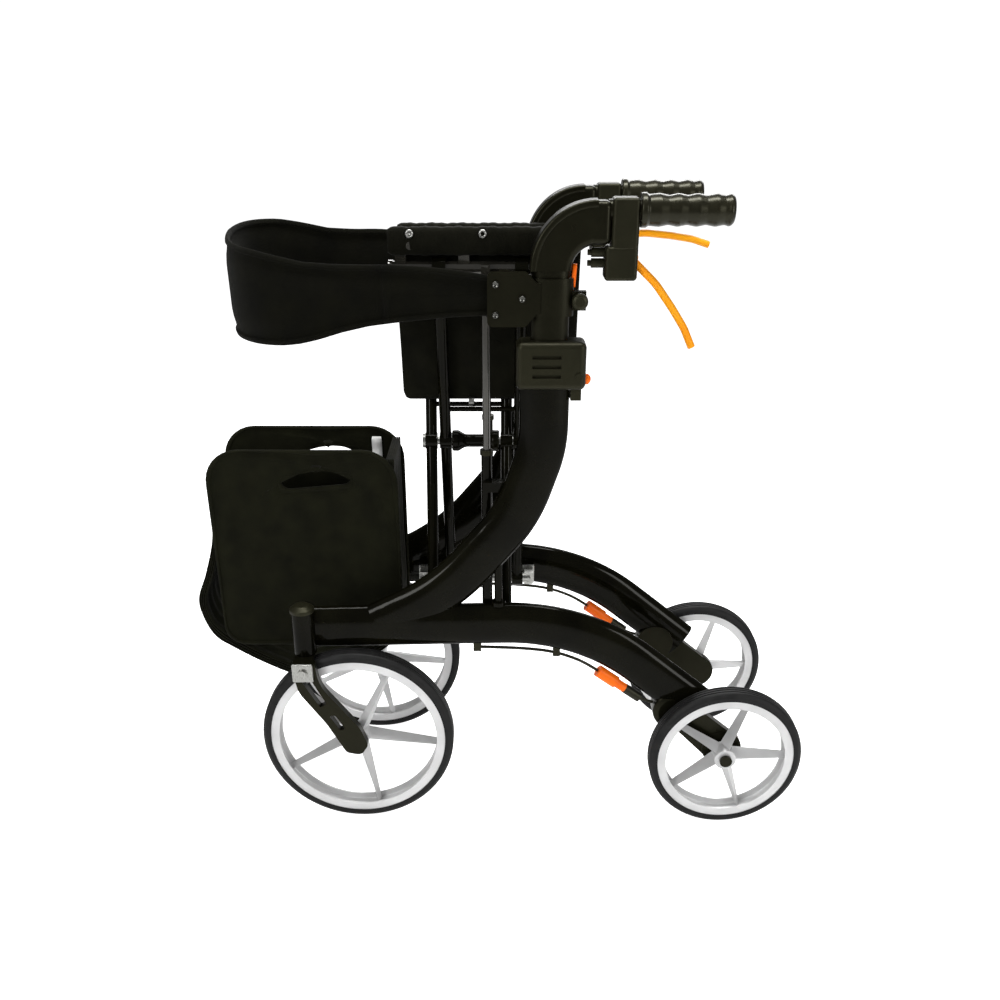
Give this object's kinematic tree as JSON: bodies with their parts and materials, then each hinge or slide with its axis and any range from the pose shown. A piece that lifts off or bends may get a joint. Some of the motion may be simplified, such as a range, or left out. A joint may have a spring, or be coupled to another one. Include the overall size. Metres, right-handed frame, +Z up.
{
  "type": "rollator walker",
  "caption": "Folding rollator walker, shown folded: cross brace, height-adjustable handles with brakes, swivel front wheels, strap backrest and tote bag.",
  "frame": {"origin": "on the ground, under the middle of the folded walker's box", "axes": "+Z up, -Y the way the walker travels, +X the walker's own left side"},
  "size_m": [0.299, 0.7914, 0.7855],
  "materials": {
    "frame_paint": "gloss",
    "black_plastic": "satin",
    "black_metal": "satin",
    "grip_rubber": "gloss",
    "orange_plastic": "satin",
    "lever_coating": "satin",
    "rim_silver": "satin",
    "tyre": "matte",
    "steel": "satin",
    "strap_fabric": "matte",
    "seat_fabric": "matte",
    "bag_fabric": "matte",
    "cable_jacket": "satin"
  },
  "bodies": {
    "frame_left": {"side_frame_left": "frame_paint", "frame_fittings_left": "black_plastic", "lower_hinge_left": "steel", "height_collar_left": "black_plastic", "rear_hub_bracket_left": "black_metal", "brake_connector_left": "orange_plastic", "brake_cable_left": "cable_jacket", "bag_panel_left": "bag_fabric", "bag_wall_a": "bag_fabric"},
    "frame_right": {"side_frame_right": "frame_paint", "frame_fittings_right": "black_plastic", "lower_hinge_right": "steel", "height_collar_right": "black_plastic", "rear_hub_bracket_right": "black_metal", "brake_connector_right": "orange_plastic", "brake_cable_right": "cable_jacket", "bag_panel_right": "bag_fabric", "bag_wall_d": "bag_fabric"},
    "brace_a": {"brace_a": "frame_paint", "pivot_axle": "steel"},
    "brace_b": {"brace_b": "frame_paint"},
    "fold_latch": {"fold_latch": "steel"},
    "bag_middle_left": {"bag_wall_b": "bag_fabric"},
    "bag_middle_right": {"bag_wall_c": "bag_fabric"},
    "rail_left": {"seat_rail_left": "frame_paint"},
    "flap_left": {"seat_flap_left": "seat_fabric"},
    "handle_left": {"handle_tube_left": "black_metal", "handle_elbow_left": "black_metal", "brake_housing_left": "black_plastic", "grip_left": "grip_rubber", "backrest_bracket_left": "black_metal"},
    "button_left": {"height_button_left": "orange_plastic"},
    "lever_left": {"brake_lever_left": "lever_coating"},
    "knob_left": {"clamp_knob_left": "black_plastic"},
    "strap_arm_left": {"strap_arm_left": "strap_fabric"},
    "strap_front_left": {"strap_front_left": "strap_fabric"},
    "caster_left": {"caster_fork_left": "black_metal", "caster_crown_left": "steel"},
    "front_wheel_left": {"front_tyre_left": "tyre", "front_rim_left": "rim_silver"},
    "rear_wheel_left": {"rear_tyre_left": "tyre", "rear_rim_left": "rim_silver"},
    "rail_right": {"seat_rail_right": "frame_paint"},
    "flap_right": {"seat_flap_right": "seat_fabric"},
    "handle_right": {"handle_tube_right": "black_metal", "handle_elbow_right": "black_metal", "brake_housing_right": "black_plastic", "grip_right": "grip_rubber", "backrest_bracket_right": "black_metal"},
    "button_right": {"height_button_right": "orange_plastic"},
    "lever_right": {"brake_lever_right": "lever_coating"},
    "knob_right": {"clamp_knob_right": "black_plastic"},
    "strap_arm_right": {"strap_arm_right": "strap_fabric"},
    "strap_front_right": {"strap_front_right": "strap_fabric"},
    "caster_right": {"caster_fork_right": "black_metal", "caster_crown_right": "steel"},
    "front_wheel_right": {"front_tyre_right": "tyre", "front_rim_right": "rim_silver"},
    "rear_wheel_right": {"rear_tyre_right": "tyre", "rear_rim_right": "rim_silver"}
  },
  "joints": [
    {"name": "unfold", "type": "hinge", "parent": "frame_left", "child": "brace_a", "pos_m": [0.06, 0, 0.274], "axis": [0, -1, 0], "range_deg": [0, 42.8]},
    {"name": "brace_cross", "type": "hinge", "parent": "brace_a", "child": "brace_b", "pos_m": [0, 0, 0.489], "axis": [0, -1, 0], "range_deg": [-85.6, 0]},
    {"name": "frame_spread", "type": "hinge", "parent": "brace_b", "child": "frame_right", "pos_m": [-0.06, 0, 0.274], "axis": [0, -1, 0], "range_deg": [0, 42.8]},
    {"name": "rail_right_level", "type": "hinge", "parent": "brace_a", "child": "rail_right", "pos_m": [-0.06, 0, 0.704], "axis": [0, -1, 0], "range_deg": [-42.8, 0]},
    {"name": "rail_left_level", "type": "hinge", "parent": "brace_b", "child": "rail_left", "pos_m": [0.06, 0, 0.704], "axis": [0, -1, 0], "range_deg": [0, 42.8]},
    {"name": "seat_flap_left_fold", "type": "hinge", "parent": "rail_left", "child": "flap_left", "pos_m": [0.0542, -0.013, 0.722], "axis": [0, 1, 0], "range_deg": [0, 71.6]},
    {"name": "seat_flap_right_fold", "type": "hinge", "parent": "rail_right", "child": "flap_right", "pos_m": [-0.0542, -0.013, 0.722], "axis": [0, -1, 0], "range_deg": [0, 71.6]},
    {"name": "bag_middle_left_shift", "type": "slide", "parent": "frame_left", "child": "bag_middle_left", "axis": [-1, 0, 0], "range_m": [0, 0.08674]},
    {"name": "bag_middle_right_shift", "type": "slide", "parent": "frame_left", "child": "bag_middle_right", "axis": [-1, 0, 0], "range_m": [0, 0.17347]},
    {"name": "strap_arm_left_swing", "type": "hinge", "parent": "handle_left", "child": "strap_arm_left", "pos_m": [0.102, 0.004, 0.68], "axis": [0, 0, -1], "range_deg": [0, 32.83]},
    {"name": "strap_front_left_bend", "type": "hinge", "parent": "strap_arm_left", "child": "strap_front_left", "pos_m": [0.102, -0.236, 0.668], "axis": [0, 0, 1], "range_deg": [0, 32.83]},
    {"name": "handle_left_height", "type": "slide", "parent": "frame_left", "child": "handle_left", "axis": [0, 0, 1], "range_m": [0, 0.08]},
    {"name": "height_button_left_press", "type": "slide", "parent": "frame_left", "child": "button_left", "axis": [0, -1, 0], "range_m": [0, 0.003], "stiffness_N_per_m": 400},
    {"name": "brake_lever_left_pull", "type": "hinge", "parent": "handle_left", "child": "lever_left", "pos_m": [0.098, 0.14, 0.721], "axis": [1, 0, 0], "range_deg": [0, 50]},
    {"name": "clamp_knob_left_turn", "type": "hinge", "parent": "handle_left", "child": "knob_left", "pos_m": [0.106, 0.087, 0.676], "axis": [1, 0, 0], "range_deg": [0, 360]},
    {"name": "caster_left_swivel", "type": "hinge", "parent": "frame_left", "child": "caster_left", "pos_m": [0.112, -0.247, 0.24], "axis": [0, 0, 1], "range_deg": [-180, 12]},
    {"name": "front_wheel_left_spin", "type": "hinge", "parent": "caster_left", "child": "front_wheel_left", "pos_m": [0.114, -0.186, 0.125], "axis": [1, 0, 0], "continuous": true},
    {"name": "rear_wheel_left_spin", "type": "hinge", "parent": "frame_left", "child": "rear_wheel_left", "pos_m": [0.127, 0.296, 0.1], "axis": [1, 0, 0], "continuous": true},
    {"name": "strap_arm_right_swing", "type": "hinge", "parent": "handle_right", "child": "strap_arm_right", "pos_m": [-0.102, 0.004, 0.68], "axis": [0, 0, 1], "range_deg": [0, 32.83]},
    {"name": "strap_front_right_bend", "type": "hinge", "parent": "strap_arm_right", "child": "strap_front_right", "pos_m": [-0.102, -0.236, 0.668], "axis": [0, 0, -1], "range_deg": [0, 32.83]},
    {"name": "handle_right_height", "type": "slide", "parent": "frame_right", "child": "handle_right", "axis": [0, 0, 1], "range_m": [0, 0.08]},
    {"name": "height_button_right_press", "type": "slide", "parent": "frame_right", "child": "button_right", "axis": [0, -1, 0], "range_m": [0, 0.003], "stiffness_N_per_m": 400},
    {"name": "brake_lever_right_pull", "type": "hinge", "parent": "handle_right", "child": "lever_right", "pos_m": [-0.098, 0.14, 0.721], "axis": [1, 0, 0], "range_deg": [-47, 8], "stiffness_Nm_per_rad": 0.4},
    {"name": "clamp_knob_right_turn", "type": "hinge", "parent": "handle_right", "child": "knob_right", "pos_m": [-0.106, 0.087, 0.676], "axis": [1, 0, 0], "range_deg": [0, 360]},
    {"name": "caster_right_swivel", "type": "hinge", "parent": "frame_right", "child": "caster_right", "pos_m": [-0.112, -0.247, 0.24], "axis": [0, 0, 1], "range_deg": [-12, 180]},
    {"name": "front_wheel_right_spin", "type": "hinge", "parent": "caster_right", "child": "front_wheel_right", "pos_m": [-0.114, -0.186, 0.125], "axis": [1, 0, 0], "continuous": true},
    {"name": "rear_wheel_right_spin", "type": "hinge", "parent": "frame_right", "child": "rear_wheel_right", "pos_m": [-0.127, 0.296, 0.1], "axis": [1, 0, 0], "continuous": true},
    {"name": "fold_latch_swing", "type": "hinge", "parent": "brace_a", "child": "fold_latch", "pos_m": [-0.0121, -0.035, 0.53234], "axis": [0, -1, 0], "range_deg": [0, 25]}
  ],
  "couplings": [
    {"joint": "brace_cross", "follows": "unfold", "ratio": -2},
    {"joint": "frame_spread", "follows": "unfold", "ratio": 1},
    {"joint": "rail_right_level", "follows": "unfold", "ratio": -1},
    {"joint": "rail_left_level", "follows": "unfold", "ratio": 1},
    {"joint": "seat_flap_left_fold", "follows": "unfold", "ratio": 1.6729},
    {"joint": "seat_flap_right_fold", "follows": "unfold", "ratio": 1.6729},
    {"joint": "bag_middle_left_shift", "follows": "unfold", "m_per_rad": 0.11611},
    {"joint": "bag_middle_right_shift", "follows": "unfold", "m_per_rad": 0.23222},
    {"joint": "strap_arm_left_swing", "follows": "unfold", "ratio": 0.76699},
    {"joint": "strap_front_left_bend", "follows": "unfold", "ratio": 0.76699},
    {"joint": "strap_arm_right_swing", "follows": "unfold", "ratio": 0.76699},
    {"joint": "strap_front_right_bend", "follows": "unfold", "ratio": 0.76699}
  ]
}
